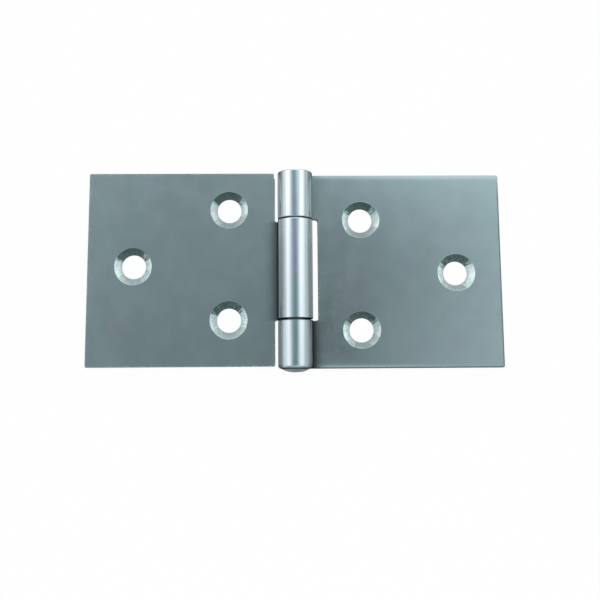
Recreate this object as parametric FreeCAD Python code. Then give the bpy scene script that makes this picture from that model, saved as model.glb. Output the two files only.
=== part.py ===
import FreeCAD, Part
import math
import os

# Back flap hinge of rolled sheet steel, laid flat and open with its barrel upwards.
# X runs across the two leaves, Y runs along the pin, and Z points away from the wood.
# The origin lies in the plane of the leaves' backs, under the middle of the pin.
# Each leaf is drawn on the +X side, and the left leaf is then turned half way round Z.

# Leaves
leaf_length = 50.8        # along the pin: 2 inches
leaf_reach = 54.0         # from the pin's axis to a leaf's outer edge: half of 4 1/4 inches
sheet = 2.0               # thickness of the steel
leaf_corner = 0.45        # radius of a leaf's corners, seen from the front
slot_corner = 0.6         # radius in the corner where a lug leaves its leaf
sheared_edge = 0.2        # easing of the sheared edges, on a leaf's back and a knuckle's outside
left_leaf_step = 0.6      # how far the left leaf stands up the pin from its own lug

# Pin and rolled barrel
pin_d = 4.9               # diameter of the pin's shank
pin_play = 0.05           # radial clearance that lets the centre knuckle turn
centre_knuckle = 25.65    # length of the left leaf's one knuckle
knuckle_gap = 0.3         # end play at each side of the centre knuckle
barrel_rim = 0.75         # outside rounding of the barrel at its two ends
flat_lug = 2.2            # how far a lug stays plain flat sheet on its way out of the leaf
seam_gap = 0.15           # between the rolled edge and the front of its own leaf
left_leaf_gap = 0.75      # from the outer knuckles to the left leaf's inner edge
right_leaf_gap = 1.45     # from the centre knuckle to the right leaf's inner edge

# Pin heads: the lower one is peened over at assembly, the upper one is the flatter made head
peened_head_d = 7.5
peened_head_h = 0.95
made_head_d = 6.0
made_head_h = 0.55
head_band = 0.2           # straight side of a head, below its dome

# Screw holes: a pair beside the barrel and one near the outer edge, pierced off the leaf's middle
hole_d = 6.3
countersink_d = 9.8
countersink_angle = 90.0
pair_pitch = 29.0         # between the two holes of the pair
pair_to_axis = 17.25      # from the pin's axis to the pair
outer_to_axis = 42.2      # from the pin's axis to the outer hole
pair_off_middle = 1.05
outer_off_middle = 0.7

# Worked out from the sizes above
bore_r = pin_d / 2 + pin_play
barrel_r = bore_r + sheet
barrel_half = leaf_length / 2
centre_half = centre_knuckle / 2
outer_start = centre_half + knuckle_gap
left_edge = barrel_r + left_leaf_gap
right_edge = barrel_r + right_leaf_gap
# The roll goes round until its outer corner comes back down to the front of the leaf.
seam_angle = math.degrees(math.asin((barrel_r - sheet - seam_gap) / barrel_r))
roll_angle = 270.0 + seam_angle

along_pin = FreeCAD.Vector(0, 1, 0)
pin_centre = FreeCAD.Vector(0, 0, barrel_r)


def rounded_outline(corners, place):
    """Closed wire through corners (u, v, radius), each rounded by an arc tangent to both sides.
    place(u, v) puts a point of the outline into space."""
    starts = []
    edges = []
    count = len(corners)
    for i in range(count):
        u, v, radius = corners[i]
        corner = FreeCAD.Vector(u, v, 0)
        back = FreeCAD.Vector(*corners[i - 1][:2], 0) - corner
        ahead = FreeCAD.Vector(*corners[(i + 1) % count][:2], 0) - corner
        back.normalize()
        ahead.normalize()
        half = back.getAngle(ahead) / 2
        run = radius / math.tan(half)
        middle = back + ahead
        middle.normalize()
        depth = radius / math.sin(half) - radius
        points = [corner + back * run, corner + middle * depth, corner + ahead * run]
        points = [place(p.x, p.y) for p in points]
        if radius > 0:
            edges.append(Part.Arc(*points).toShape())
        starts.append((points[0], points[2]))
    for i in range(count):
        leaving = starts[i - 1][1]
        arriving = starts[i][0]
        edges.append(Part.LineSegment(leaving, arriving).toShape())
    return Part.Wire(Part.sortEdges(edges)[0])


def lug_section(underside, x):
    """Outline of a lug cut across at x, from the corners (y, z, radius) along its underside,
    which becomes the outside of the knuckle. Its other side is plain sheet."""
    low = underside[0][0]
    high = underside[-1][0]
    corners = underside + [(high, sheet, 0), (low, sheet, 0)]
    return rounded_outline(corners, lambda y, z: FreeCAD.Vector(x, y, z))


def knuckle_end(y, inward):
    """Underside corners of a rolled lug at one end, from its side inwards: rounded over at an end
    of the barrel, and a small bevel at a gap between knuckles."""
    if abs(y) == barrel_half:
        return [(y, 0, barrel_rim)]
    return [(y, sheared_edge, 0), (y + inward * sheared_edge, 0, 0)]


def rolled_knuckle(low, high, lug_end):
    """Lug that takes on the knuckle's ends between lug_end and the tangent point, then rolls round
    the pin."""
    at_leaf = lug_section([(low, 0, sheared_edge), (high, 0, sheared_edge)], lug_end)
    at_roll = lug_section(knuckle_end(low, 1) + knuckle_end(high, -1)[::-1], 0)
    flat = Part.makeLoft([at_leaf, at_roll], True, True)
    roll = Part.Face(at_roll).revolve(pin_centre, along_pin, roll_angle)
    return [flat, roll]


def flat_leaf(corners, lug_end):
    """Sheet cut to the outline, with the sheared edges of its back rounded."""
    outline = rounded_outline(corners, lambda x, y: FreeCAD.Vector(x, y, 0))
    plate = Part.Face(outline).extrude(FreeCAD.Vector(0, 0, sheet))
    rounded = []
    for edge in plate.Edges:
        box = edge.BoundBox
        if box.ZMax < sheet / 2 and box.XMax > lug_end + sheared_edge / 2:
            rounded.append(edge)
    return plate.makeFillet(sheared_edge, rounded)


def screw_hole(x, y):
    """Straight hole through the sheet with a countersink from the front."""
    spread = math.tan(math.radians(countersink_angle / 2))
    depth = (countersink_d - hole_d) / 2 / spread
    hole = Part.makeCylinder(hole_d / 2, 2 * sheet, FreeCAD.Vector(x, y, -sheet / 2))
    over = sheet / 2          # the cutter starts this far above the front
    foot = FreeCAD.Vector(x, y, sheet - depth)
    sink = Part.makeCone(hole_d / 2, countersink_d / 2 + over * spread, depth + over, foot)
    return hole.fuse(sink)


def screw_places(middle):
    """Centres of a leaf's three holes, for a leaf with its middle at this place along the pin."""
    pair_middle = middle - pair_off_middle
    return [
        (pair_to_axis, pair_middle + pair_pitch / 2),
        (pair_to_axis, pair_middle - pair_pitch / 2),
        (outer_to_axis, middle - outer_off_middle),
    ]


def finished_leaf(plate, knuckles, middle):
    leaf = plate
    for piece in knuckles:
        leaf = leaf.fuse(piece)
    for x, y in screw_places(middle):
        leaf = leaf.cut(screw_hole(x, y))
    return leaf.removeSplitter()


def left_leaf():
    """Leaf with the single centre knuckle."""
    lug_end = left_edge - flat_lug
    low = -barrel_half - left_leaf_step
    high = barrel_half - left_leaf_step
    corners = [
        (leaf_reach, low, leaf_corner),
        (leaf_reach, high, leaf_corner),
        (left_edge, high, leaf_corner),
        (left_edge, centre_half, slot_corner),
        (lug_end, centre_half, 0),
        (lug_end, -centre_half, 0),
        (left_edge, -centre_half, slot_corner),
        (left_edge, low, leaf_corner),
    ]
    plate = flat_leaf(corners, lug_end)
    knuckle = rolled_knuckle(-centre_half, centre_half, lug_end)
    leaf = finished_leaf(plate, knuckle, -left_leaf_step)
    leaf.rotate(FreeCAD.Vector(0, 0, 0), FreeCAD.Vector(0, 0, 1), 180)
    return leaf


def right_leaf():
    """Leaf with the two outer knuckles, which hold the pin."""
    lug_end = right_edge - flat_lug
    corners = [
        (leaf_reach, -barrel_half, leaf_corner),
        (leaf_reach, barrel_half, leaf_corner),
        (lug_end, barrel_half, 0),
        (lug_end, outer_start, 0),
        (right_edge, outer_start, slot_corner),
        (right_edge, -outer_start, slot_corner),
        (lug_end, -outer_start, 0),
        (lug_end, -barrel_half, 0),
    ]
    plate = flat_leaf(corners, lug_end)
    upper = rolled_knuckle(outer_start, barrel_half, lug_end)
    lower = rolled_knuckle(-barrel_half, -outer_start, lug_end)
    return finished_leaf(plate, upper + lower, 0)


def head_profile(diameter, height, end):
    """Half outline of a pin head whose underside lies on the barrel's end face.
    end is +1 for the upper end and -1 for the lower one."""
    base = barrel_half
    band_top = base + head_band
    tip = base + height
    r = diameter / 2
    rise = height - head_band
    dome_r = (r * r + rise * rise) / (2 * rise)
    half_way = math.asin(r / dome_r) / 2
    crown = (dome_r * math.sin(half_way), tip - dome_r * (1 - math.cos(half_way)))

    def at(radius, y):
        return FreeCAD.Vector(0, end * y, barrel_r + radius)

    return [
        Part.LineSegment(at(pin_d / 2, base), at(r, base)).toShape(),
        Part.LineSegment(at(r, base), at(r, band_top)).toShape(),
        Part.Arc(at(r, band_top), at(*crown), at(0, tip)).toShape(),
    ]


def hinge_pin():
    """Plain shank with a domed head at each end, turned as one piece round the pin's axis."""
    shank = FreeCAD.Vector(0, 0, barrel_r + pin_d / 2)
    upper_tip = FreeCAD.Vector(0, barrel_half + made_head_h, barrel_r)
    lower_tip = FreeCAD.Vector(0, -barrel_half - peened_head_h, barrel_r)
    edges = head_profile(made_head_d, made_head_h, 1)
    edges += head_profile(peened_head_d, peened_head_h, -1)
    side = Part.LineSegment(shank + along_pin * barrel_half, shank - along_pin * barrel_half)
    middle = Part.LineSegment(lower_tip, upper_tip)
    edges += [side.toShape(), middle.toShape()]
    half_section = Part.Face(Part.Wire(Part.sortEdges(edges)[0]))
    return half_section.revolve(pin_centre, along_pin, 360)


os.makedirs("parts", exist_ok=True)
pieces = {
    "left_leaf": left_leaf(),
    "right_leaf": right_leaf(),
    "hinge_pin": hinge_pin(),
}
for name, shape in pieces.items():
    solid = shape.Solids[0]
    if len(shape.Solids) != 1 or not solid.isValid():
        raise ValueError(f"{name} has {len(shape.Solids)} solids, valid: {shape.isValid()}")
    if solid.Volume < 0:
        solid.reverse()
    solid.exportStep(f"parts/{name}.step")
    box = solid.optimalBoundingBox()
    sides = f"{box.XLength:.2f} x {box.YLength:.2f} x {box.ZLength:.2f} mm"
    print(f"{name}: {solid.Volume:.0f} mm3, {sides}")
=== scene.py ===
"""Back flap hinge in zinc plated sheet steel: its two leaves, its pin, and the stage it lies on.

Each leaf is worked out as the maker makes it. First comes a flat pattern (u, v): u is the distance
from the pin, runs below zero round the roll, and v runs along the pin. Then the front and the back
of the sheet are heights over that pattern, and the part below zero is bent round the pin.
Lengths inside the functions are millimetres, and the finished meshes are metres."""

import math

import bpy
import numpy as np
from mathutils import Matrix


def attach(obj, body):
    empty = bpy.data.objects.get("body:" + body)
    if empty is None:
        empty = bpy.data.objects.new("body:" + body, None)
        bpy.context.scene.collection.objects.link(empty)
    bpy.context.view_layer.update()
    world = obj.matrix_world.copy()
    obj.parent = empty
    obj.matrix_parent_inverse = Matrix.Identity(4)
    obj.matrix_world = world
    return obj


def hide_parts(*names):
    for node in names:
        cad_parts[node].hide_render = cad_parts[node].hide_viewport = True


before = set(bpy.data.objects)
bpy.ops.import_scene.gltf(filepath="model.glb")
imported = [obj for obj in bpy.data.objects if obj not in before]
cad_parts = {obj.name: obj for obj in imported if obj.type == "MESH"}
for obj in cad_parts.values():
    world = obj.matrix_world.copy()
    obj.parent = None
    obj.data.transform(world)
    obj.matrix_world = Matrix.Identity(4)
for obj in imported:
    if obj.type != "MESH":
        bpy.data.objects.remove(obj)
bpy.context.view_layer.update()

bl_info = {
    "name": "Back Flap Hinge",
    "version": (1, 0, 0),
    "blender": (4, 5, 0),
    "location": "View3D > Sidebar > Hinge",
    "description": "Back flap hinge with rolled knuckles, countersunk holes and a peened pin",
    "category": "Add Mesh",
}

# How finely the surfaces are divided. EDGE_STEPS are distances from a cut edge at which the pattern
# gets a line, so that rounded edges are smooth.
EDGE_STEPS = np.array([0, 0.01, 0.03, 0.06, 0.1, 0.15, 0.21, 0.3, 0.42, 0.57, 0.75, 1.1, 1.5])
ROLL_STEP, HOLE_STEP, PLAIN_STEP = 0.2, 0.5, 1.0
BLOCK = 6.0               # half side of the square of pattern that each screw hole takes
WALL_ROWS = 4             # strips down a cut edge, from the front to the back
PIN_SIDES = 96            # points round the pin
HAIR = 1e-6               # shorter than any length that counts
FAR = 99.0                # longer than any length on the hinge

# Sizes that stay as the maker set them, of the left and the right leaf where these differ
SEAM_GAP = 0.15           # between the rolled edge and the front of its own leaf
INNER_GAP = {"left": 0.75, "right": 1.45}        # from the barrel to the leaf's inner edge
SPLIT = {"left": 12.825, "right": 13.125}        # from the middle to where the lug ends or starts
FLAT_LUG = 2.2            # how far a lug stays plain flat sheet on its way out of the leaf
LEAF_CORNER = 0.45        # radius of the pattern's outer corners
SLOT_CORNER = 0.6         # radius of its inner corners
BACK_ROUND, FRONT_ROUND = 0.2, 0.09              # rounding of the sheared edges
UPPER_RIM = 0.25          # rounding of the barrel's upper end
LOWER_DROOP, UPPER_DROOP = 0.08, 0.06            # how far the right leaf's sheared ends fall
PAIR_TO_AXIS, PAIR_HALF, PAIR_OFF_MIDDLE = 17.25, 14.5, 1.05
OUTER_TO_AXIS, OUTER_OFF_MIDDLE = 42.2, 0.7
PEENED_R, PEENED_H = 3.75, 0.95
MADE_R, MADE_H = 3.0, 0.55

# Small faults of the work
SLOT_RUN_OFF = 0.55       # at the upper end of the right leaf's slot
CORNER_NICK = 0.22        # in the left leaf's inner upper corner
HAMMER_BLOWS = 26         # on the peened head

# Facets of a pressed countersink: the angle from +X at which each starts, and how bright each is
# painted, from painted shade at 0 to painted highlight at 1
FACET_STARTS = np.array([-22.0, 27.0, 46.0, 147.0, 157.0, 216.0, 242.0, 300.0])
FACET_LIGHT = np.array([0.98, 0.38, 0.03, 0.40, 1.0, 0.64, 0.56, 0.66])
RIM_GAPS = (1.0, 0.7, 0.45, 0.28, 0.16, 0.08, 0.03, 0.01)
HOLE_SPACING = 9.0        # from one hole to the next in the grain that the tool's strokes follow

# Starts of the chance numbers
RIM_SEED, BURR_SEED, CHATTER_SEED, FACET_SEED = 100, 200, 300, 400
SWELL_SEED, BLOW_SEED = 5, 11

# Curves of the finish, each as places and the values there.
# The turn in radians at which the roll nears its own lug, and the painted shade in that crease from
# there on
CREASE_TURN = {"left": 4.36, "right": 4.28}
CREASE_PAINTED_SHADE = [0, 0.1, 0.38, 0.58, 0.9, 1.1], [0, 0.95, 0.7, 0, 0.3, 1]
# Painted shade along the sheared edges: the distance up to which it is full, that of its end, and
# how much
SHEARED_EDGE_PAINTED_SHADE = {"left": (0.03, 0.2, 0.55), "right": (0.12, 0.5, 0.75)}
# Painted shade on the front of a leaf, by the distance from its own knuckles
FRONT_PAINTED_SHADE = [0, 0.7, 1.0, 1.5, 2.0, 2.5, 3.2, 4.0], [0.80, 0.74, 0.69, 0.52, 0.32, 0.18, 0.07, 0]
# Painted shade on each knuckle on the way up to its crown and on the way down, by how squarely the
# surface faces up
FLANK_SHADE_CURVES = {
    "centre": (([-0.2, 0.2, 0.35, 0.46, 0.56, 0.70, 0.76, 0.80, 0.86],
                [0.10, 0.45, 0.76, 0.70, 0.60, 0.48, 0.40, 0.27, 0.0]),
               ([-0.2, 0.2, 0.35, 0.46, 0.56, 0.62, 0.69, 0.74, 0.79, 0.83, 0.88],
                [0.10, 0.45, 0.76, 0.70, 0.66, 0.64, 0.60, 0.53, 0.40, 0.23, 0.0])),
    "lower": (([-0.2, 0.2, 0.35, 0.46, 0.56, 0.69, 0.74, 0.79, 0.83],
               [0.10, 0.45, 0.76, 0.70, 0.60, 0.36, 0.29, 0.11, 0.0]),
              ([-0.2, 0.2, 0.41, 0.52, 0.60, 0.67, 0.73, 0.78, 0.82, 0.86, 0.90],
               [0.10, 0.40, 0.80, 0.68, 0.55, 0.49, 0.55, 0.43, 0.27, 0.20, 0.0])),
    "upper": (([-0.2, 0.3, 0.45, 0.55, 0.63, 0.69, 0.75, 0.80, 0.86],
               [0.05, 0.48, 0.70, 0.42, 0.23, 0.24, 0.24, 0.12, 0.0]),
              ([-0.2, 0.2, 0.38, 0.49, 0.58, 0.65, 0.72, 0.77, 0.81, 0.85, 0.90],
               [0.05, 0.50, 0.60, 0.45, 0.39, 0.17, 0.19, 0.48, 0.41, 0.15, 0.0])),
}
# Tint of the crown up the pin: +1 for lavender and -1 for green
CROWN_HUE = ([-25, -13, -10, -6, -2.5, 0, 6, 10, 15, 25],
             [-0.2, -0.4, -0.5, -1, 0, 0.8, 1, 0.6, 0.3, 0])

# Colours of the plating and of what lies on it, with the painted highlight and painted shade
WHITE, BLACK = (1, 1, 1, 1), (0, 0, 0, 1)
LIGHT_GRAINS = (0.80, 0.82, 0.83, 1)
WORN_EDGE = (0.80, 0.83, 0.84, 1)
ROLL_TINTS = (0.67, 0.655, 0.71, 1), (0.60, 0.68, 0.675, 1)
# Painted highlight on the roll's crown
CROWN_HIGHLIGHT = (0.74, 0.78, 0.81, 1)
LAVENDER, GREENISH = (0.82, 0.73, 1.0, 1), (0.62, 0.78, 0.78, 1)
# Painted shade down the knuckles' flanks and on the leaf's front beside them
FLANK_SHADE_COLOUR = (0.02, 0.025, 0.025, 1)
# Countersink facets painted dark, plain and bright: painted shade and painted highlight
SHADED_FACET, PLAIN_FACET = (0.16, 0.20, 0.19, 1), (0.62, 0.70, 0.695, 1)
HIGHLIT_FACET = (0.94, 1, 0.99, 1)
PLAIN_FACET_LIGHT = 0.59       # painted brightness of a facet on which the tool's strokes show least
# Painted shade: the dark colour laid in creases, knuckle gaps, sheared edges and round the pin
# head's rim
PAINTED_SHADE_COLOUR = (0.05, 0.06, 0.06, 1)
HAMMERED = (0.26, 0.28, 0.28, 1)

# Light of the studio, and the floor
CEILING = (0.367, 0.474, 0.496)
BOX_NEAR, BOX_FAR = (1.151, 1.244, 1.307, 1), (1.62, 1.70, 1.69, 1)
BOX_BEHIND = (1.40, 1.50, 1.52, 1)
SIDES_LOW, FRONT_LOW, BACK_LOW = (1.2, 1.3, 1.32, 1), (0.05, 0.07, 0.065, 1), (0.44, 0.49, 0.49, 1)
FLOOR_LIT, FLOOR_SEEN = (0.5, 0.5, 0.5, 1), (0.95, 0.95, 0.95, 1)
FLOOR_HALF, FLOOR_DROP = 4.0, 0.00001            # metres

# The camera, in metres and degrees
CAMERA_PLACE = (-0.002985, -0.028216, 0.210165)
CAMERA_TURN = (7.7708, -1.1147, -0.3971)
CAMERA_LENS, CAMERA_SENSOR = 48.334, 36.0        # millimetres
CAMERA_SHIFT = -0.05


# ---------------------------------------------------------------- surfaces

def grid_lines(low, high, edges, zones):
    """Places of the pattern's lines between low and high. Each edge (place, way) gets EDGE_STEPS on
    its own side, each zone (start, end, step) is divided evenly, and the rest gets plain steps."""
    marks = [np.array([low, high])]
    marks += [place + way * EDGE_STEPS for place, way in edges]
    marks += [np.array(zone[:2]) for zone in zones]
    marks = np.concatenate(marks)
    marks = np.unique(np.round(marks[(marks > low - HAIR) & (marks < high + HAIR)], 4))
    middle = (marks[1:] + marks[:-1]) / 2
    step = np.full(len(middle), PLAIN_STEP)
    for start, end, fine in zones:
        step[(middle > start) & (middle < end)] = fine
    width = np.diff(marks)
    count = np.maximum(np.ceil(width / step - HAIR), 1).astype(int)
    order = np.arange(count.sum()) - np.repeat(np.cumsum(count) - count, count)
    lines = np.repeat(marks[:-1], count) + order * np.repeat(width / count, count)
    return np.append(lines, marks[-1])


def quarter_round(depth, radius):
    """How far a rounded edge has fallen at this depth inside it: the radius less the height of a
    quarter circle, r - sqrt(r^2 - (r - d)^2), and nothing further in than the radius."""
    left = np.clip(radius - depth, 0, radius)
    return radius - np.sqrt(radius * radius - left * left)


def smooth_step(value, start, end):
    """0 at start and 1 at end, with the curve 3 t^2 - 2 t^3 between them."""
    part = np.clip((value - start) / (end - start), 0, 1)
    return part * part * (3 - 2 * part)


def ripple(angle, waves, seed, power):
    """Sum of cosines round a circle with random phases, each weaker by its wave count to a power,
    scaled so that it is about one at its largest."""
    chance = np.random.default_rng(seed)
    total = np.zeros_like(angle)
    size = 0.0
    for count in waves:
        weight = count ** -power
        total = total + weight * np.cos(count * angle + chance.uniform(0, 2 * np.pi))
        size += weight
    return total / size * 1.6


def corner_distance(u, v, plan):
    """Distance of pattern points from the barrel's ends, and from every other cut edge."""
    edge, split = plan["edge"], plan["split"]
    ends = np.minimum(v - plan["low"], plan["high"] - v)
    cut = np.minimum(plan["reach"] - u, u - plan["start"])
    away = np.maximum(u - edge, 0)
    if plan["outer_lugs"]:
        beside = np.maximum(np.abs(v) - split, 0)
    else:
        beside = np.maximum(split - np.abs(v), 0)
        cut = np.where(u > edge - HAIR, np.minimum(cut, ends), cut)
        ends = np.full_like(cut, FAR)
    return ends, np.minimum(cut, np.hypot(away, beside))


def round_corners(u, v, plan):
    """Moves the pattern's points so that its square corners become round. Inside an outer corner a
    square about the arc's centre becomes a circle: each point keeps the larger of its two distances
    from the centre as its radius. Round an inner corner the cut edge is drawn into the slot onto
    the arc, and the points behind it follow less and less with depth, as a bell curve."""
    for cu, cv, su, sv in plan["outer_corners"]:
        r = LEAF_CORNER
        p, q = r - (u - cu) * su, r - (v - cv) * sv
        near = (p > 0) & (q > 0) & (p < r + HAIR) & (q < r + HAIR)
        size = np.where(near, np.maximum(p, q) / np.maximum(np.hypot(p, q), 1e-9), 1)
        u = np.where(near, cu + su * (r - p * size), u)
        v = np.where(near, cv + sv * (r - q * size), v)
    for cu, cv, su, sv in plan["inner_corners"]:
        r = SLOT_CORNER
        s, t = (u - cu) * su, (v - cv) * sv
        near = (s < r) & (t < r) & (s > -3) & (t > -3) & ~((s > HAIR) & (t > HAIR))
        depth = np.maximum(np.maximum(np.where(s < 0, -s, 0), np.where(t < 0, -t, 0)), 0)
        along = np.clip((np.maximum(s, 0) - np.maximum(t, 0)) / r, -1, 1)
        turn = (1 - along) * np.pi / 4
        fade = np.exp(-(depth / 0.7) ** 2)
        ds = (r - r * np.sin(turn) - np.maximum(along, 0) * r) * fade
        dt = (r - r * np.cos(turn) - np.maximum(-along, 0) * r) * fade
        u = u + np.where(near, su * ds, 0)
        v = v + np.where(near, sv * dt, 0)
    return u, v


def as_sheared(u, v, plan):
    """Small faults of the shears. On the right leaf the slot's upper end runs off between the
    knuckle and the leaf, and on the left leaf the inner upper corner is nicked. Both moves die away
    with distance as a bell curve."""
    if plan["outer_lugs"]:
        along = smooth_step(u, 2.5, 4.5) * smooth_step(u, 9.5, 7.0)
        return u, v + SLOT_RUN_OFF * along * np.exp(-((v - plan["split"]) / 1.6) ** 2)
    corner = smooth_step(v, plan["low"] + 1.5, plan["low"] + 1.1)
    return u + CORNER_NICK * corner * np.exp(-((u - plan["edge"]) / 0.7) ** 2) * (u > 0), v


def rolled(points, plan):
    """Bends the flat pattern (u, v, w) round the pin. With u above zero it stays flat. Below zero
    the turn is -u over the sheet's middle radius, and a point keeps its depth w in the sheet:
    x = -(R - w) sin(turn), z = R - (R - w) cos(turn), with R the outside of the knuckle."""
    u, v, w = points.T
    turn = np.maximum(-u, 0) / plan["middle_r"]
    arm = plan["outside"] - w
    x = np.where(u > 0, u, -arm * np.sin(turn))
    z = np.where(u > 0, w, plan["outside"] - arm * np.cos(turn))
    return np.stack([x, v, z], 1)


def hole_rings(angle, reach, plan, number):
    """Rings (radius, height, sink, facet) of one countersunk hole, each a value per angle, from the
    square that lies at reach, over the front, down the cone and through the straight wall, to the
    back. The cone is a line from its rim to the wall, bent a little more on the facets painted
    bright, less the tool's chatter, a ripple round the hole that twists with depth. The press
    leaves
    the cone in facets: each has its own radius and its own painted brightness, from 0 for painted
    shade to 1 for painted highlight, between two angles counted from +X. The rim also has a finer
    ripple. sink is how much of the countersink's finish a ring has."""
    sheet, r_hole, r_sink = plan["sheet"], plan["hole_r"], plan["sink_r"]
    foot = sheet - (r_sink - r_hole)
    chance = np.random.default_rng(FACET_SEED + number)
    starts = FACET_STARTS + chance.uniform(-5, 5, len(FACET_STARTS))
    facet_light = np.clip(FACET_LIGHT + chance.uniform(-0.07, 0.07, len(FACET_LIGHT)), 0, 1)
    bearing = (np.degrees(angle) + (180 if plan["turned"] else 0) - starts[0]) % 360 + starts[0]
    which = np.searchsorted(starts, bearing, side="right") - 1
    facet = facet_light[which]
    ragged = 0.05 * ripple(angle, range(3, 26), RIM_SEED + number, 0.35)
    ragged = ragged + chance.uniform(-0.09, 0.10, len(starts))[which]
    burr = 0.004 + 0.003 * ripple(angle, range(2, 9), BURR_SEED + number, 0.5)
    first = r_sink + RIM_GAPS[0] + ragged
    rings = [(reach + (first - reach) * part, sheet, 0, 0) for part in (0.3, 0.6)]
    for gap in RIM_GAPS:
        rings.append((r_sink + gap + ragged, sheet + burr * math.exp(-(gap / 0.14) ** 2), 0, facet))
    for down in np.linspace(0.012, 1, 20):
        left = 1 - down
        chatter = 0.020 * ripple(angle + 0.5 * down, (5, 7, 11, 13), CHATTER_SEED + number, 0.3)
        steps = 0.012 * np.sign(np.sin(3 * angle + number * 1.7 + 0.4 * down))
        swell = (chatter + steps) * math.sin(math.pi * min(down * 1.05, 1.0))
        height = foot + (sheet + burr * 0.7 - foot) * left ** (1.04 - 0.24 * facet) - swell
        rings.append((r_hole + (r_sink + ragged - r_hole) * left, height, 1, facet))
    for height in (foot - 0.02, foot * 0.5, 0.05, 0.02, 0.0):
        rings.append((r_hole + max(0.03 - height, 0) * 0.8, height, 0.6, facet))
    for gap in (0.06, 0.4, 1.2):
        rings.append((r_hole + gap, 0, 0, facet))
    rings.append(((rings[-1][0] + reach) / 2, 0, 0, 0))
    return np.array([[value + 0 * angle for value in ring] for ring in rings])


def painted_shade_of(flat, cut_depth, plan):
    """How much painted shade a place gets, from 0 to 1: on the front of a lug where the roll comes
    down on it, on the last part of the roll, at the knuckles' ends beside the gaps, round the
    barrel's lower end behind the pin's head, and, more weakly, along the sheared edges. Each is a
    ramp over a short distance, and the strongest of them counts."""
    u, v, w = flat.T
    outside, split = plan["outside"], plan["split"]
    up_pin = v * plan["way"]
    turn = -u / plan["middle_r"]
    lug = np.abs(v) > split - 0.6 if plan["outer_lugs"] else np.abs(v) < split + 0.6
    front = np.clip((outside + 0.8 - u) / 0.6, 0, 1) * (u > 0) * (w > plan["sheet"] / 2) * lug
    if plan["outer_lugs"]:
        front = front * np.interp(v, [-13, 13], [1.0, 0.2])
    upper = (up_pin > 0) & plan["outer_lugs"]
    crease = plan["crease"] + 0.05 * upper
    late = np.interp(turn - crease, *CREASE_PAINTED_SHADE)
    late = late * np.where(upper & (turn < crease + 0.58), 0.55, 1.0)
    wide = np.where(up_pin < 0, 0.34, 0.14)
    at_end = np.clip(1.3 * (1 - cut_depth / wide), 0, 1) * (u < 0) * (np.abs(v) < split + 1)
    at_end = at_end * np.where(up_pin < 0, 0.95, 0.12)
    rim = np.clip(1.3 - (v - plan["low"]) / 0.25, 0, 1) * (u < 0) * plan["outer_lugs"]
    # Painted shade along the sheared edges
    near, far, share = plan["sheared"]
    share = share * np.interp(v, [20, 24], [1.0, 0.5])
    share = np.where((u < plan["edge"] + 0.6) & (np.abs(v) < 20), 0.35 * share, share)
    sheared = share * np.clip((far - cut_depth) / (far - near), 0, 1) * (u > outside - 0.3)
    return np.maximum.reduce([front, late, at_end, rim, sheared])


def painted_flank_shade_of(flat, plan):
    """How much painted shade the plate gets beside the crown, from 0 to 1: none along the crown,
    and more down the roll's sides, by how squarely the surface faces up, which is minus the cosine
    of the turn. The front of the leaf gets painted shade too over a few millimetres next to its own
    knuckles."""
    u, v, w = flat.T
    split = plan["split"]
    turn = np.maximum(-u, 0) / plan["middle_r"]
    facing = -np.cos(turn)
    up_pin = v * plan["way"]
    sides = {name: [np.interp(facing, *curve) for curve in FLANK_SHADE_CURVES[name]] for name in FLANK_SHADE_CURVES}
    if plan["outer_lugs"]:
        beside = np.clip((np.abs(v) - split + 0.3) / 0.6, 0, 1) * np.interp(v, [-13, 13], [1, 0.25])
        rising, falling = np.where(up_pin > 0, sides["upper"], sides["lower"])
    else:
        beside = 0.87 * np.clip((split + 0.6 - np.abs(v)) / 0.8, 0, 1)
        rising, falling = np.interp(up_pin, [-25, 5, 25], [1.0, 0.9, 0.2]) * sides["centre"]
    # Painted shade: near is on the front beside the knuckles, dull is down the roll's sides
    near = np.interp(u - plan["outside"], *FRONT_PAINTED_SHADE) * beside * (w > plan["sheet"] / 2) * (u > 0)
    dull = np.where(turn < np.pi, rising, falling) * np.clip(turn / 0.8, 0, 1)
    return np.maximum(dull, near)


def crown_of(flat, plan):
    """The roll's crown, which gets a painted highlight, as a bell curve of the turn about the
    highest line, and the faint tint in it, a narrower bell curve that changes up the pin."""
    u, v = flat[:, :2].T
    turn = -u / plan["middle_r"]
    crown = np.exp(-((turn - np.pi) / 0.5) ** 2) * (u < 0)
    hue = np.interp(v * plan["way"], *CROWN_HUE)
    return crown, hue * np.exp(-((turn - np.pi + 0.05 * plan["way"]) / 0.2) ** 2)


def pattern_heights(plan, us, vs):
    """Front and back of the sheet as points (u, v, w) over the grid of lines, and how far each is
    from a cut edge. The front falls by a quarter round at every cut edge and droops at the two
    sheared ends, by the square of what is left of the way there. The back rises by a quarter round,
    which widens towards the pin into the rounding of the barrel's ends."""
    u, v = np.meshgrid(us, vs, indexing="ij")
    ends, cut = corner_distance(u, v, plan)
    nearest = np.maximum(np.minimum(ends, cut), 0)
    rim = np.where(v < 0, plan["rim_low"], plan["rim_high"]) - BACK_ROUND
    rim = BACK_ROUND + rim * np.clip(1 - u / plan["lug_end"], 0, 1)
    back = np.maximum(quarter_round(ends, rim), quarter_round(cut, np.full_like(u, BACK_ROUND)))
    droop = plan["droop_low"] * np.clip(1 - (v - plan["low"]) / 1.4, 0, 1) ** 2
    droop = droop + plan["droop_high"] * np.clip(1 - (plan["high"] - v) / 1.2, 0, 1) ** 2
    droop = droop * np.clip(u - plan["outside"], 0, 1)
    front = plan["sheet"] - quarter_round(nearest, np.full_like(u, FRONT_ROUND)) - droop
    u, v = as_sheared(*round_corners(u, v, plan), plan)
    front, back = [np.stack([u.ravel(), v.ravel(), w.ravel()], 1) for w in (front, back)]
    return front, back, nearest.ravel()


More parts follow.
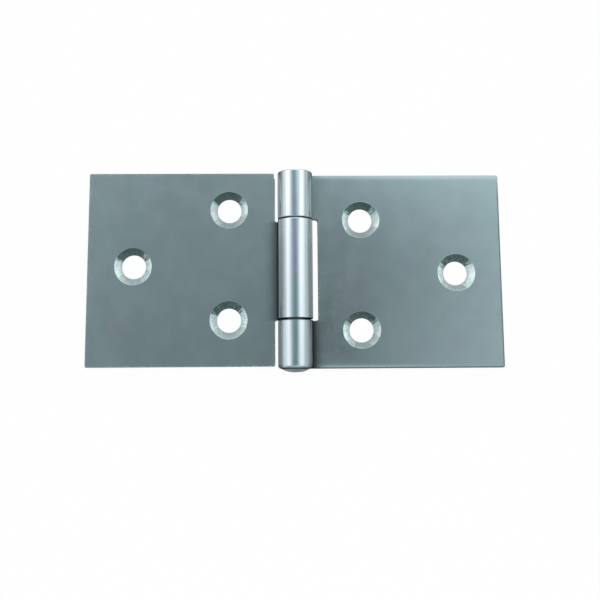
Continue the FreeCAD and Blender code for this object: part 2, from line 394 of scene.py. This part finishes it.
def leaf_surface(plan):
    """Closed surface of one leaf. Front and back are heights over one grid of (u, v); their outer
    edges are joined by walls, and each screw hole is a set of rings that starts at the square of
    grid lines round it on the front, goes down through the hole, and ends at the same square on the
    back. Returns points, quads and what the finish needs to know at each point."""
    edge, split, holes = plan["edge"], plan["split"], plan["holes"]
    lug_way = 1 if plan["outer_lugs"] else -1
    us = grid_lines(plan["start"], plan["reach"],
                    [(plan["start"], 1), (edge, 1), (plan["reach"], -1)],
                    [(plan["start"], 0.0, ROLL_STEP)]
                    + [(u - BLOCK, u + BLOCK, HOLE_STEP) for u in sorted({h[0] for h in holes})])
    vs = grid_lines(plan["low"], plan["high"],
                    [(plan["low"], 1), (plan["high"], -1), (split, lug_way), (-split, -lug_way)],
                    [(v - BLOCK, v + BLOCK, HOLE_STEP) for v in sorted(h[1] for h in holes)])
    nu, nv = len(us), len(vs)
    front, back, nearest = pattern_heights(plan, us, vs)

    mid_u, mid_v = (us[1:] + us[:-1]) / 2, np.abs((vs[1:] + vs[:-1]) / 2)
    lug = mid_v > split if plan["outer_lugs"] else mid_v < split
    shown = (mid_u > edge)[:, None] | lug[None, :]
    number = np.arange(nu * nv).reshape(nu, nv)
    blocks, quads = [], []

    def add(place, depth, spin=(0, 0, 0), sunk=0, facet=0):
        """Adds points with their notes, and gives their numbers."""
        first = sum(len(block) for block in blocks)
        block = np.zeros((len(place), 9))
        block[:, :3], block[:, 3], block[:, 4:7] = place, depth, spin
        block[:, 7], block[:, 8] = sunk, facet
        blocks.append(block)
        return first + np.arange(len(place))

    on_front, on_back = add(front, nearest), add(back, nearest)

    # Walls: every side of a shown cell whose neighbour isn't shown gets a strip from front to back.
    padded = np.pad(shown, 1)
    sides = (((0, -1), (0, 0), (1, 0)), ((1, 0), (1, 0), (1, 1)),
             ((0, 1), (1, 1), (0, 1)), ((-1, 0), (0, 1), (0, 0)))
    starts, stops = [], []
    for (di, dj), first, second in sides:
        beyond = padded[1 + di:1 + di + nu - 1, 1 + dj:1 + dj + nv - 1]
        i, j = np.nonzero(shown & ~beyond)
        starts.append(number[i + first[0], j + first[1]])
        stops.append(number[i + second[0], j + second[1]])
    starts, stops = np.concatenate(starts), np.concatenate(stops)
    loop = np.unique(starts)
    wall = [on_front]
    for row in range(1, WALL_ROWS):
        ids = np.zeros(nu * nv, int)
        ids[loop] = add(front[loop] + (back[loop] - front[loop]) * (row / WALL_ROWS), 0)
        wall.append(ids)
    wall.append(on_back)
    for upper, lower in zip(wall[:-1], wall[1:]):
        quads.append(np.stack([upper[starts], lower[starts], lower[stops], upper[stops]], 1))

    # Screw holes
    for order, (hu, hv) in enumerate(holes, plan["first_hole"]):
        i0, i1 = np.argmin(np.abs(us - hu + BLOCK)), np.argmin(np.abs(us - hu - BLOCK))
        j0, j1 = np.argmin(np.abs(vs - hv + BLOCK)), np.argmin(np.abs(vs - hv - BLOCK))
        shown[i0:i1, j0:j1] = False
        square = np.concatenate([number[i0:i1, j0], number[i1, j0:j1],
                                 number[i1:i0:-1, j1], number[i0, j1:j0:-1]])
        side = front[square][:, :2] - (hu, hv)
        angle = np.arctan2(side[:, 1], side[:, 0])
        ids = [square]
        for radius, height, sunk, facet_light in hole_rings(angle, np.hypot(*side.T), plan, order):
            place = [hu + radius * np.cos(angle), hv + radius * np.sin(angle), height]
            spin = [np.cos(angle), np.sin(angle), radius + HOLE_SPACING * order]
            ids.append(add(np.stack(place, 1), 3.0, np.stack(spin, 1), sunk, facet_light))
        ids.append(on_back[square])
        for outer, inner in zip(ids[:-1], ids[1:]):
            quads.append(np.stack([outer, np.roll(outer, -1), np.roll(inner, -1), inner], 1))

    i, j = np.nonzero(shown)
    cell = np.stack([number[i, j], number[i + 1, j], number[i + 1, j + 1], number[i, j + 1]], 1)
    quads += [cell, on_back[cell[:, ::-1]]]
    used, quads = np.unique(np.concatenate(quads), return_inverse=True)
    known = np.concatenate(blocks)[used]
    flat, depth = known[:, :3], known[:, 3]
    # crown is a painted highlight along the roll's top, and hue its faint tint
    crown, hue = crown_of(flat, plan)
    # Two notes here carry painted shade: the one for creases, gaps and edges, and the one for the
    # flanks
    notes = {"cut_depth": depth, "sunk": known[:, 7], "pattern": flat, "spin": known[:, 4:7],
             "facet": known[:, 8], "painted_shade": painted_shade_of(flat, depth, plan),
             "painted_flank_shade": painted_flank_shade_of(flat, plan), "crown": crown, "hue": hue}
    return rolled(flat, plan), quads.reshape(-1, 4), notes


def pin_surface(plan):
    """Surface of revolution round the pin's axis: x = r sin(a), z = R + r cos(a), with the radius r
    and the place y along the pin both functions of one number along the profile. The peened head's
    height is h (1 - (r / R_head)^2.3), and the made head is an ellipse with a flattened top. The
    peened head is pushed in by a round dent at each blow of the hammer, a bell curve of the
    distance."""
    half = plan["half"]
    bend = np.linspace(0, np.pi / 2, 30)[1:]
    low_r = PEENED_R * np.sin(bend)
    low_y = -half - PEENED_H * (1 - np.sin(bend) ** 2.3)
    top_r = MADE_R * np.sin(bend[::-1]) ** 0.8
    top_y = half + MADE_H * np.cos(bend[::-1]) ** 0.9
    shank = np.linspace(-half, half, 12)
    radius = np.concatenate([low_r, [plan["pin_r"] + 0.4], 0 * shank + plan["pin_r"], top_r])
    place = np.concatenate([low_y, [-half], shank, top_y])
    angle = 2 * np.pi * np.arange(PIN_SIDES) / PIN_SIDES
    r, a = np.meshgrid(radius, angle, indexing="ij")
    y = np.repeat(place[:, None], PIN_SIDES, 1)
    head = y < -half - HAIR
    chance = np.random.default_rng(BLOW_SEED)
    x, z = r * np.sin(a), r * np.cos(a)
    for _ in range(HAMMER_BLOWS):
        far = PEENED_R * math.sqrt(chance.uniform(0.0, 1.05))
        way = chance.uniform(0, 2 * np.pi)
        wide = chance.uniform(0.35, 0.75)
        deep = chance.uniform(0.03, 0.09)
        gap = np.hypot(x - far * math.sin(way), z - far * math.cos(way))
        y = np.where(head, y + deep * np.exp(-(gap / wide) ** 2), y)
    swell = 1 + 0.012 * ripple(a, range(2, 9), SWELL_SEED, 0.7)
    x, z = np.where(head, x * swell, x), np.where(head, z * swell, z)
    points = np.stack([x.ravel(), y.ravel(), plan["outside"] + z.ravel()], 1)
    number = np.arange(len(points)).reshape(len(radius), PIN_SIDES)
    beside = np.roll(number, -1, 1)
    quads = np.stack([number[:-1], beside[:-1], beside[1:], number[1:]], 2).reshape(-1, 4)
    poles = [[0, y[0].mean(), plan["outside"]], [0, half + MADE_H, plan["outside"]]]
    first, second = np.full(PIN_SIDES, len(points)), np.full(PIN_SIDES, len(points) + 1)
    caps = [np.stack([first, beside[0], number[0]], 1),
            np.stack([second, number[-1], beside[-1]], 1)]
    points = np.concatenate([points, poles])
    wide = np.hypot(points[:, 0], points[:, 2] - plan["outside"])
    # Painted shadow: a dark line round the peened head's rim, where it meets the barrel's end
    notes = {"painted_shade": np.clip((wide - PEENED_R + 0.45) / 0.35, 0, 1)}
    return points, quads, np.concatenate(caps), notes


def piece_from(name, points, quads, caps, notes, material, turned=False):
    """Puts the arrays into a mesh in metres. A turned piece goes half way round +Z. If the enclosed
    volume, the sum of each corner triple's product, comes out negative, every face is reversed."""
    if turned:
        points = points * (-1, -1, 1)
    caps = np.zeros((0, 3), int) if caps is None else caps
    corners = points[np.concatenate([quads[:, :3], quads[:, [0, 2, 3]], caps])]
    if np.einsum("ij,ij->", corners[:, 0], np.cross(corners[:, 1], corners[:, 2])) < 0:
        quads, caps = quads[:, ::-1], caps[:, ::-1]
    mesh = bpy.data.meshes.new(name)
    mesh.from_pydata((points * 0.001).tolist(), [], quads.tolist() + caps.tolist())
    mesh.shade_smooth()
    for note, values in notes.items():
        kind, field = ("FLOAT", "value") if values.ndim == 1 else ("FLOAT_VECTOR", "vector")
        channel = mesh.attributes.new(note, kind, "POINT")
        channel.data.foreach_set(field, values.astype(np.float32).ravel())
    mesh.validate()
    mesh.materials.append(material)
    piece = bpy.data.objects.new(name, mesh)
    bpy.context.scene.collection.objects.link(piece)
    return piece


# ---------------------------------------------------------------- finishes

class Nodes:
    """The nodes of a material or a world. Each method adds to them, takes plain values or sockets,
    and gives the socket of its result."""

    def __init__(self, owner):
        owner.use_nodes = True
        self.tree = owner.node_tree
        self.tree.nodes.clear()

    def put(self, kind, values=None, out=0, **settings):
        """One node, with its inputs by name or number."""
        node = self.tree.nodes.new("ShaderNode" + kind)
        for name, value in settings.items():
            setattr(node, name, value)
        for key, value in (values or {}).items():
            if isinstance(value, bpy.types.NodeSocket):
                self.tree.links.new(value, node.inputs[key])
            else:
                node.inputs[key].default_value = value
        return node.outputs[out]

    def end(self, kind, shader):
        """The last node, which this shader goes into."""
        self.tree.links.new(shader, self.tree.nodes.new("ShaderNode" + kind).inputs[0])

    def sums(self, kind, first, second=0.0, clamp=False):
        """One step of arithmetic."""
        return self.put("Math", {0: first, 1: second}, operation=kind, use_clamp=clamp)

    def times(self, first, *others):
        """Product of numbers."""
        for other in others:
            first = self.sums("MULTIPLY", first, other)
        return first

    def plus(self, first, *others, clamp=False):
        """Sum of numbers, kept from 0 to 1 if clamp is set."""
        for other in others[:-1]:
            first = self.sums("ADD", first, other)
        return self.sums("ADD", first, others[-1], clamp)

    def rest(self, value, clamp=False):
        """One less the value."""
        return self.sums("SUBTRACT", 1.0, value, clamp)

    def between(self, value, low, high, start=0.0, end=1.0, kind="SMOOTHSTEP"):
        """A soft ramp from start, where the value is low, to end, where it is high."""
        values = {0: value, 1: low, 2: high, 3: start, 4: end}
        return self.put("MapRange", values, interpolation_type=kind)

    def mixed(self, share, first, second):
        """Blend of two colours."""
        return self.put("Mix", {0: share, 6: first, 7: second}, out=2, data_type="RGBA")

    def stretched(self, vector, scale):
        """The vector with each of its directions scaled."""
        return self.put("Mapping", {0: vector, 3: scale})

    def grain(self, vector, scale, detail=2.0, rough=0.5):
        """Random grain, with one scale or with one for each direction."""
        if isinstance(scale, tuple):
            vector, scale = self.stretched(vector, scale), 1.0
        return self.put("TexNoise", {0: vector, 2: scale, 3: detail, 4: rough})

    def noted(self, name, out=2):
        """What the mesh noted at each point: out 1 is a vector, 2 a number."""
        return self.put("Attribute", attribute_name=name, out=out)

    def metal(self, colour, rough, relief, **more):
        """The metal with this colour, roughness and relief as the tree's surface."""
        values = {"Metallic": 1.0, "Base Color": colour, "Roughness": rough, "Normal": relief}
        self.end("OutputMaterial", self.put("BsdfPrincipled", {**values, **more}))


def zinc_colour(n, place, finish):
    """Bright zinc: three close tints in soft clouds, with a fine speckle of lighter grains."""
    red, green, blue = finish.zinc
    warm = (red * 1.02, green * 0.995, blue, 1)
    greener = (red * 0.985, green * 1.015, blue * 0.985, 1)
    clouds = n.grain(place, 0.09)
    streaks = n.grain(place, (0.35, 0.05, 0.2), 3.0)
    colour = n.mixed(n.between(clouds, 0.38, 0.62), (red, green, blue, 1), warm)
    colour = n.mixed(n.between(streaks, 0.45, 0.7), colour, greener)
    return n.mixed(n.between(n.grain(place, 2.0), 0.5, 0.8, 0.0, 0.10), colour, LIGHT_GRAINS)


def sheet_finish(name, finish, dull):
    """Plated sheet: the rolling mill's fine lines along v, brighter worn edges, a painted highlight
    on the crown with painted shade down the flanks, painted shade in the creases, and facets
    painted bright and dark, strokes and chatter in the countersinks. dull is added to the
    roughness."""
    material = bpy.data.materials.new(name)
    n = Nodes(material)
    place = n.stretched(n.put("TexCoord", out=3), (1000, 1000, 1000))
    pattern, spin = n.noted("pattern", 1), n.noted("spin", 1)
    sunk, painted_flank_shade, hue = n.noted("sunk"), n.noted("painted_flank_shade"), n.noted("hue")

    # Sheet, worn edges, roll, painted highlight on the crown and painted shade on the flanks
    colour = zinc_colour(n, place, finish)
    near_cut = n.between(n.noted("cut_depth"), 0.1, 0.6, 1.0, 0.0)
    wear = n.times(near_cut, n.between(n.grain(place, 1.6, 3.0), 0.4, 0.65))
    colour = n.mixed(n.times(wear, 0.2), colour, WORN_EDGE)
    bands = n.grain(pattern, (0.32, 0.02, 0.1))
    tint = n.mixed(n.between(bands, 0.4, 0.6), *ROLL_TINTS)
    on_roll = n.between(n.put("SeparateXYZ", {0: pattern}), -1.0, -3.0, 0.0, 0.55)
    colour = n.mixed(on_roll, colour, tint)
    colour = n.mixed(n.noted("crown"), colour, CROWN_HIGHLIGHT)
    colour = n.mixed(n.between(hue, 0.0, 1.0, kind="LINEAR"), colour, LAVENDER)
    colour = n.mixed(n.between(hue, 0.0, -1.0, kind="LINEAR"), colour, GREENISH)
    colour = n.mixed(painted_flank_shade, colour, FLANK_SHADE_COLOUR)

    # Countersinks: facets in painted shade, plain facets and facets in painted highlight, with
    # short strokes of the tool in them
    facet_light = n.noted("facet")
    strokes = n.between(n.grain(spin, (9.0, 9.0, 2.2), 3.0, 0.6), 0.4, 0.6, -0.16, 0.12)
    specks = n.between(n.grain(place, 3.0, 2.0, 0.6), 0.58, 0.66, 0.0, -0.4)
    specks = n.times(specks, n.between(facet_light, 0.62, 0.9, 0.25, 1.0))
    ticks = n.between(n.grain(spin, (13.0, 13.0, 0.9), 2.0, 0.6), 0.42, 0.58, -0.20, 0.14)
    strokes = n.plus(strokes, n.plus(specks, ticks))
    from_plain = n.sums("ABSOLUTE", n.sums("SUBTRACT", facet_light, PLAIN_FACET_LIGHT))
    strokes = n.times(strokes, n.between(from_plain, 0.06, 0.2, 0.4, 1.0),
                      n.between(facet_light, 0.1, 0.3, 0.55, 1.0))
    facet_light = n.plus(facet_light, strokes, clamp=True)
    # Facet colour: painted shade on the dark facets, painted highlight on the bright ones
    facet_light_and_shade = n.mixed(n.between(facet_light, 0.0, 0.5), SHADED_FACET, PLAIN_FACET)
    facet_light_and_shade = n.mixed(n.between(facet_light, 0.5, 0.9), facet_light_and_shade, HIGHLIT_FACET)
    colour = n.mixed(sunk, colour, facet_light_and_shade)

    # Painted shade in the creases, at the knuckle gaps, round the barrel's lower rim and along the
    # sheared edges
    painted_shade_amount = n.between(n.noted("painted_shade"), 0.0, 0.9, 0.0, 0.92)
    painted_shade_amount = n.times(painted_shade_amount, n.between(n.grain(place, 2.0, 3.0), 0.35, 0.6, 0.96, 1.0))
    colour = n.mixed(painted_shade_amount, colour, PAINTED_SHADE_COLOUR)

    # How rough each place is
    clouds = n.between(n.grain(place, 0.22, 3.0), 0.3, 0.7,
                       finish.roughness - 0.015, finish.roughness + 0.025)
    fine = n.between(n.grain(place, 2.4), 0.3, 0.7, -0.015, 0.02)
    rough = n.plus(clouds, n.times(fine, n.rest(painted_flank_shade, clamp=True)), n.times(wear, 0.10),
                   n.times(sunk, 0.28), n.times(painted_flank_shade, 0.12), n.times(painted_shade_amount, 0.06), dull, clamp=True)

    # Relief: mill lines and plating grain, and the countersinks' rings and chatter
    mill = n.grain(pattern, (6.0, 0.25, 6.0), 3.0, 0.6)
    pits = n.grain(place, 5.0, 3.0, 0.6)
    height = n.times(n.plus(n.times(mill, 0.5), n.times(pits, 0.5)), n.rest(n.times(painted_flank_shade, 0.8)))
    relief = n.put("Bump", {"Strength": 0.5, "Distance": finish.relief * 0.001, "Height": height})
    turned = n.plus(n.grain(spin, (0.6, 0.6, 9.0)), n.grain(spin, (14.0, 14.0, 1.4)))
    relief = n.put("Bump", {"Strength": 1.0, "Distance": 0.000012, "Height": n.times(turned, sunk),
                            "Normal": relief})
    # The painted shade also turns the reflection's edge tint towards black
    n.metal(colour, rough, relief, **{"Specular Tint": n.mixed(painted_shade_amount, WHITE, BLACK)})
    return material


def wire_finish(name, finish):
    """Plated wire: a head dulled and marked by the hammer, with a painted shadow line round its
    rim.
    """
    material = bpy.data.materials.new(name)
    n = Nodes(material)
    place = n.stretched(n.put("TexCoord", out=3), (1000, 1000, 1000))
    marks = n.grain(place, 1.7, 4.0, 0.65)
    colour = zinc_colour(n, place, finish)
    colour = n.mixed(n.between(marks, 0.38, 0.62, 0.15, 0.85), colour, HAMMERED)
    # Painted shadow line round the head's rim
    colour = n.mixed(n.times(n.noted("painted_shade"), 0.9), colour, PAINTED_SHADE_COLOUR)
    height = n.plus(marks, n.grain(place, 6.0))
    relief = n.put("Bump", {"Strength": 0.8, "Distance": 0.00004, "Height": height})
    n.metal(colour, n.between(marks, 0.3, 0.7, 0.26, 0.44), relief)
    return material


def floor_finish(white_share):
    """Pale floor. The camera sees it mostly as plain white, and the rest of it is lit, so that the
    hinge keeps a soft shadow. The metal sees a smaller share of the plain white."""
    material = bpy.data.materials.new("pale_floor")
    n = Nodes(material)
    ray = n.put("LightPath").node.outputs
    mirrored = n.sums("MAXIMUM", ray["Is Glossy Ray"], ray["Is Transmission Ray"])
    share = n.sums("MAXIMUM", n.times(ray["Is Camera Ray"], white_share), n.times(mirrored, 0.1))
    lit = n.put("BsdfDiffuse", {0: n.mixed(ray["Is Camera Ray"], FLOOR_LIT, FLOOR_SEEN)})
    plain = n.put("Emission", {0: WHITE, 1: 1.0})
    n.end("OutputMaterial", n.put("MixShader", {0: share, 1: lit, 2: plain}))
    return material


def studio_world(studio):
    """Light from a soft grey ceiling with a long softbox at each side, told by direction alone.
    across is the angle in degrees from straight up towards +X, and x, along and z are the
    direction's shares of +X, +Y and +Z."""
    world = bpy.data.worlds.new("studio")
    n = Nodes(world)
    ramp, times = n.between, n.times
    way = n.put("TexCoord", out=0)
    x, along, z = n.put("SeparateXYZ", {0: way}).node.outputs
    across = times(n.sums("ARCTAN2", x, z), 180 / math.pi)

    def softbox(start, end, soft_start, soft_end, move_start=0.0, move_end=0.0):
        """Light from the angle start to the angle end, each with a soft edge and moved a little."""
        rise = n.sums("SUBTRACT", across, move_start)
        fall = n.sums("SUBTRACT", across, move_end)
        return times(ramp(rise, start - soft_start, start + soft_start),
                     ramp(fall, end - soft_end, end + soft_end, 1.0, 0.0))

    def patch(centre, inner, outer, inside, outside):
        """Ramp by the distance from one direction."""
        gap = n.put("VectorMath", {0: way, 1: centre}, out=1, operation="DISTANCE")
        return ramp(gap, inner, outer, inside, outside)

    # The ceiling: darker in its middle, lighter towards +Y, uneven from side to side, with a dark
    # gap between the two boxes and a light patch towards -Y
    darker = patch((-0.05, 0.11, 1.0), 0.14, 0.445, 0.50, 1.0)
    dimmer = times(ramp(x, 0.02, -0.08, 0.0, -0.13), ramp(along, 0.14, 0.26))
    lifted = times(ramp(x, 0.04, 0.12, 0.0, 0.43), ramp(along, 0.222, 0.255),
                   ramp(x, 0.2, 0.26, 1.0, 0.5))
    nearer = times(ramp(x, 0.08, 0.13, 0.0, 0.28), ramp(along, 0.12, 0.04),
                   ramp(x, 0.16, 0.2, 1.0, 0.66))
    uneven = n.plus(1.0, n.plus(dimmer, lifted, nearer))
    gap = times(ramp(x, -0.009, 0.046), ramp(x, 0.046, 0.101, 1, 0),
                ramp(along, 0.086, 0.235, 0.8, 0.0), ramp(along, -0.08, 0.0))
    lighter = patch((0.05, -0.2, 1.0), 0.05, 0.15, 2.1, 1.0)
    ceiling = times(darker, ramp(along, -0.1, 0.45, 1.01, 1.71), uneven, n.rest(gap), lighter)
    grey = n.put("VectorMath", {0: CEILING, 3: ceiling}, operation="SCALE")

    # The two long softboxes beside the pin, and one behind the hinge
    middle = times(ramp(along, 0.05, 0.09), ramp(along, 0.17, 0.2, 1, 0))
    left = softbox(-71.9, -32.3, 24.9, 14.0, 0.0, times(middle, -6.0))
    left = times(left, n.rest(times(middle, 0.07)))
    right = softbox(24.3, 63.1, 9.0, 23.3, ramp(along, 0.18, 0.22, 0.0, 9.0))
    right = times(right, ramp(along, 0.05, 0.10, 0.8, 1.0))
    sides = times(n.plus(left, right, clamp=True), ramp(along, -0.45, 0.0))
    light = n.mixed(sides, grey, n.mixed(ramp(along, 0.007, 0.319), BOX_NEAR, BOX_FAR))
    behind = times(ramp(along, 0.42, 0.52), ramp(along, 0.78, 0.88, 1, 0), ramp(z, 0.15, 0.35))
    light = n.mixed(behind, light, BOX_BEHIND)

    # Low down: bright at both sides, dark in front, middling behind
    low = ramp(z, 0.12, 0.34, 1.0, 0.0)
    at_side = times(ramp(n.sums("ABSOLUTE", x), 0.74, 0.84), low)
    light = n.mixed(at_side, light, SIDES_LOW)
    in_front = times(ramp(along, -0.60, -0.72), ramp(z, 0.12, 0.26, 1, 0))
    light = n.mixed(in_front, light, FRONT_LOW)
    light = n.mixed(times(ramp(along, 0.5, 0.66), low), light, BACK_LOW)

    ray = n.put("LightPath").node.outputs
    shown = n.put("Background", {0: WHITE, 1: 1.0})
    shining = n.put("Background", {0: light, 1: studio.light})
    n.end("OutputWorld", n.put("MixShader", {0: ray["Is Camera Ray"], 1: shining, 2: shown}))
    return world


# ---------------------------------------------------------------- what a user may change

def length(name, text, mm):
    """Property for one size, with its default in millimetres."""
    return bpy.props.FloatProperty(name=name, description=text, default=mm / 1000, min=0.0,
                                   unit="LENGTH", subtype="DISTANCE", precision=5)


class HingeSizes(bpy.types.PropertyGroup):
    """Sizes of the hinge"""

    leaf_length: length("Leaf length", "Length of each leaf along the pin", 50.8)
    leaf_reach: length("Leaf reach", "From the pin's axis to a leaf's outer edge", 54.0)
    sheet: length("Sheet", "Thickness of the steel", 2.0)
    knuckle: length("Knuckle diameter", "Outside diameter of the rolled barrel", 9.0)
    rim: length("Barrel rim", "Rounding of the barrel at its lower end", 0.75)
    pin: length("Pin diameter", "Diameter of the pin's shank", 4.9)
    hole: length("Hole diameter", "Straight part of a screw hole", 6.3)
    countersink: length("Countersink diameter", "Width of a countersink at the front", 9.8)
    left_step: length("Left leaf step", "How far the left leaf stands up the pin from its lug", 0.6)


class HingeFinish(bpy.types.PropertyGroup):
    """Colour and finish of the plating"""

    zinc: bpy.props.FloatVectorProperty(
        name="Zinc", description="Colour of the bright zinc plate",
        default=(0.62, 0.66, 0.68), subtype="COLOR", size=3, min=0, max=1)
    roughness: bpy.props.FloatProperty(
        name="Roughness", description="How much the plate scatters light",
        default=0.17, min=0.02, max=1.0, subtype="FACTOR")
    relief: bpy.props.FloatProperty(
        name="Relief", description="Depth of the sheet's grain in millimetres",
        default=0.003, min=0.0, max=0.1, precision=4)


class HingeStudio(bpy.types.PropertyGroup):
    """Light and floor"""

    light: bpy.props.FloatProperty(
        name="Light", description="Strength of the studio light", default=1.0, min=0.0, max=4.0)
    floor: bpy.props.FloatProperty(
        name="White floor", description="How plainly white the floor is seen",
        default=0.97, min=0.0, max=1.0, subtype="FACTOR")


def leaf_plan(sizes, side):
    """Plan of one leaf on the +X side, from the sizes: where its pattern starts and ends, its
    corners (u, v, way along u, way along v), and its three screw holes. The left leaf is turned
    half way round afterwards, so its pattern runs down the pin."""
    right = side == "right"
    sheet, outside = sizes.sheet * 1000, sizes.knuckle * 500
    half, reach = sizes.leaf_length * 500, sizes.leaf_reach * 1000
    seam = math.asin((outside - sheet - SEAM_GAP) / outside)
    middle = 0.0 if right else -sizes.left_step * 1000
    edge, split = outside + INNER_GAP[side], SPLIT[side]
    low, high = middle - half, middle + half
    pair = middle - PAIR_OFF_MIDDLE
    plan = {
        "sheet": sheet, "outside": outside, "middle_r": outside - sheet / 2, "reach": reach,
        "start": -(1.5 * math.pi + seam) * (outside - sheet / 2), "low": low, "high": high,
        "edge": edge, "split": split, "lug_end": edge - FLAT_LUG,
        "outer_lugs": right, "turned": not right, "way": 1 if right else -1,
        "rim_low": sizes.rim * 1000, "rim_high": UPPER_RIM,
        "droop_low": LOWER_DROOP, "droop_high": UPPER_DROOP,
        "crease": CREASE_TURN[side], "sheared": SHEARED_EDGE_PAINTED_SHADE[side],
        "hole_r": sizes.hole * 500, "sink_r": sizes.countersink * 500,
        "holes": [(PAIR_TO_AXIS, pair + PAIR_HALF), (PAIR_TO_AXIS, pair - PAIR_HALF),
                  (OUTER_TO_AXIS, middle - OUTER_OFF_MIDDLE)],
        "first_hole": 0 if right else 3,
        "outer_corners": [(reach, low, -1, 1), (reach, high, -1, -1)],
        "inner_corners": [(edge, split, -1, -1), (edge, -split, -1, 1)],
    }
    if not right:
        plan["outer_corners"] += [(edge, low, 1, 1), (edge, high, 1, -1)]
        plan["inner_corners"] = [(edge, split, -1, 1), (edge, -split, -1, -1)]
        plan["rim_low"] = plan["rim_high"] = BACK_ROUND
        plan["droop_low"] = plan["droop_high"] = 0.0
    return plan


# ---------------------------------------------------------------- operators

class HINGE_OT_left_leaf(bpy.types.Operator):
    """Make the left leaf, with the one centre knuckle rolled from it"""

    bl_idname = "hinge.left_leaf"
    bl_label = "Left leaf"

    def execute(self, context):
        scene = context.scene
        plan = leaf_plan(scene.hinge_sizes, "left")
        points, quads, notes = leaf_surface(plan)
        finish = sheet_finish("zinc_plate_left", scene.hinge_finish, 0.015)
        leaf = piece_from("left_leaf_plated", points, quads, None, notes, finish, turned=True)
        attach(leaf, "swinging_side")
        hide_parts("left_leaf")
        return {"FINISHED"}


class HINGE_OT_right_leaf(bpy.types.Operator):
    """Make the right leaf, with the two outer knuckles rolled from it"""

    bl_idname = "hinge.right_leaf"
    bl_label = "Right leaf"

    def execute(self, context):
        scene = context.scene
        plan = leaf_plan(scene.hinge_sizes, "right")
        points, quads, notes = leaf_surface(plan)
        finish = sheet_finish("zinc_plate_right", scene.hinge_finish, 0.0)
        leaf = piece_from("right_leaf_plated", points, quads, None, notes, finish)
        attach(leaf, "pin_side")
        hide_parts("right_leaf")
        return {"FINISHED"}


class HINGE_OT_pin(bpy.types.Operator):
    """Make the pin, with its made head and its hammered head"""

    bl_idname = "hinge.pin"
    bl_label = "Pin"

    def execute(self, context):
        scene = context.scene
        sizes = scene.hinge_sizes
        plan = {"outside": sizes.knuckle * 500, "half": sizes.leaf_length * 500,
                "pin_r": sizes.pin * 500}
        points, quads, caps, notes = pin_surface(plan)
        finish = wire_finish("zinc_wire", scene.hinge_finish)
        pin = piece_from("peened_pin", points, quads, caps, notes, finish)
        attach(pin, "pin_side")
        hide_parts("hinge_pin")
        return {"FINISHED"}


class HINGE_OT_stage(bpy.types.Operator):
    """Lay the floor, light the studio and place the camera"""

    bl_idname = "hinge.stage"
    bl_label = "Stage"

    def execute(self, context):
        scene = context.scene
        studio = scene.hinge_studio
        mesh = bpy.data.meshes.new("pale_floor")
        ways = ((-1, -1), (1, -1), (1, 1), (-1, 1))
        corners = [(FLOOR_HALF * across, FLOOR_HALF * up, -FLOOR_DROP) for across, up in ways]
        mesh.from_pydata(corners, [], [(0, 1, 2, 3)])
        mesh.materials.append(floor_finish(studio.floor))
        floor = bpy.data.objects.new("pale_floor", mesh)
        scene.collection.objects.link(floor)
        scene.world = studio_world(studio)
        scene.view_settings.view_transform = "Standard"

        lens = bpy.data.cameras.new("camera")
        lens.lens, lens.sensor_width, lens.shift_y = CAMERA_LENS, CAMERA_SENSOR, CAMERA_SHIFT
        lens.clip_start, lens.clip_end = 0.005, 20.0
        camera = bpy.data.objects.new("camera", lens)
        camera.location = CAMERA_PLACE
        camera.rotation_euler = [math.radians(turn) for turn in CAMERA_TURN]
        scene.collection.objects.link(camera)
        scene.camera = camera
        return {"FINISHED"}


class HINGE_PT_panel(bpy.types.Panel):
    """Sizes and finish of the hinge, and a button for each piece"""

    bl_idname = "HINGE_PT_panel"
    bl_label = "Back flap hinge"
    bl_space_type = "VIEW_3D"
    bl_region_type = "UI"
    bl_category = "Hinge"

    def draw(self, context):
        scene = context.scene
        for group in (scene.hinge_sizes, scene.hinge_finish, scene.hinge_studio):
            for name in group.__annotations__:
                self.layout.prop(group, name)
        for operator in OPERATORS:
            self.layout.operator(operator.bl_idname)


GROUPS = (HingeSizes, HingeFinish, HingeStudio)
OPERATORS = (HINGE_OT_left_leaf, HINGE_OT_right_leaf, HINGE_OT_pin, HINGE_OT_stage)


def register():
    for each in GROUPS + OPERATORS + (HINGE_PT_panel,):
        bpy.utils.register_class(each)
    bpy.types.Scene.hinge_sizes = bpy.props.PointerProperty(type=HingeSizes)
    bpy.types.Scene.hinge_finish = bpy.props.PointerProperty(type=HingeFinish)
    bpy.types.Scene.hinge_studio = bpy.props.PointerProperty(type=HingeStudio)


def unregister():
    del bpy.types.Scene.hinge_sizes
    del bpy.types.Scene.hinge_finish
    del bpy.types.Scene.hinge_studio
    for each in reversed(GROUPS + OPERATORS + (HINGE_PT_panel,)):
        bpy.utils.unregister_class(each)


def main():
    register()
    bpy.ops.hinge.left_leaf()
    bpy.ops.hinge.right_leaf()
    bpy.ops.hinge.pin()
    bpy.ops.hinge.stage()


if __name__ == "__main__":
    main()
